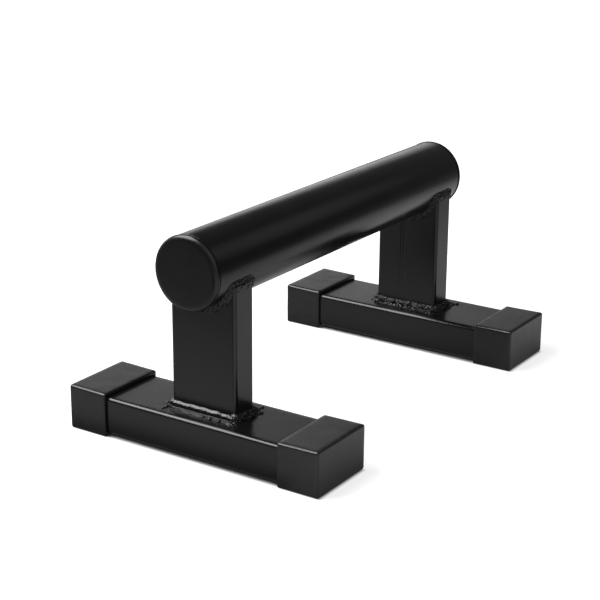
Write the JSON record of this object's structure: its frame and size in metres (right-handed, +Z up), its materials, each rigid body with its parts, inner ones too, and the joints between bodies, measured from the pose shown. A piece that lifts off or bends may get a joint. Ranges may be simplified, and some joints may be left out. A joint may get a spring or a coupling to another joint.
{
  "type": "parallette bar",
  "caption": "Low round steel bar for push-ups and handstands, welded on posts that stand on cross feet with rubber boots.",
  "frame": {"origin": "on the floor, midway between the two feet: the centre of the underside of the whole part", "axes": "+X along the bar, +Y along the feet, +Z up"},
  "size_m": [0.309, 0.1944, 0.1485],
  "materials": {
    "powder_coat": "fine-textured satin black powder coat on steel tube",
    "weld_coat": "glossy black powder coat over weld beads",
    "boot_rubber": "matte black moulded rubber",
    "cap_plastic": "matte black moulded plastic with a satin rim"
  },
  "bodies": {
    "root": {"bar_tube": "powder_coat", "bar_end_cap_left": "cap_plastic", "bar_end_cap_right": "cap_plastic", "post_left": "powder_coat", "post_right": "powder_coat", "foot_tube_left": "powder_coat", "foot_tube_right": "powder_coat", "boot_left_front": "boot_rubber", "boot_left_rear": "boot_rubber", "boot_right_front": "boot_rubber", "boot_right_rear": "boot_rubber", "base_weld_left": "weld_coat", "base_weld_right": "weld_coat", "saddle_weld_left": "weld_coat", "saddle_weld_right": "weld_coat"}
  },
  "joints": []
}
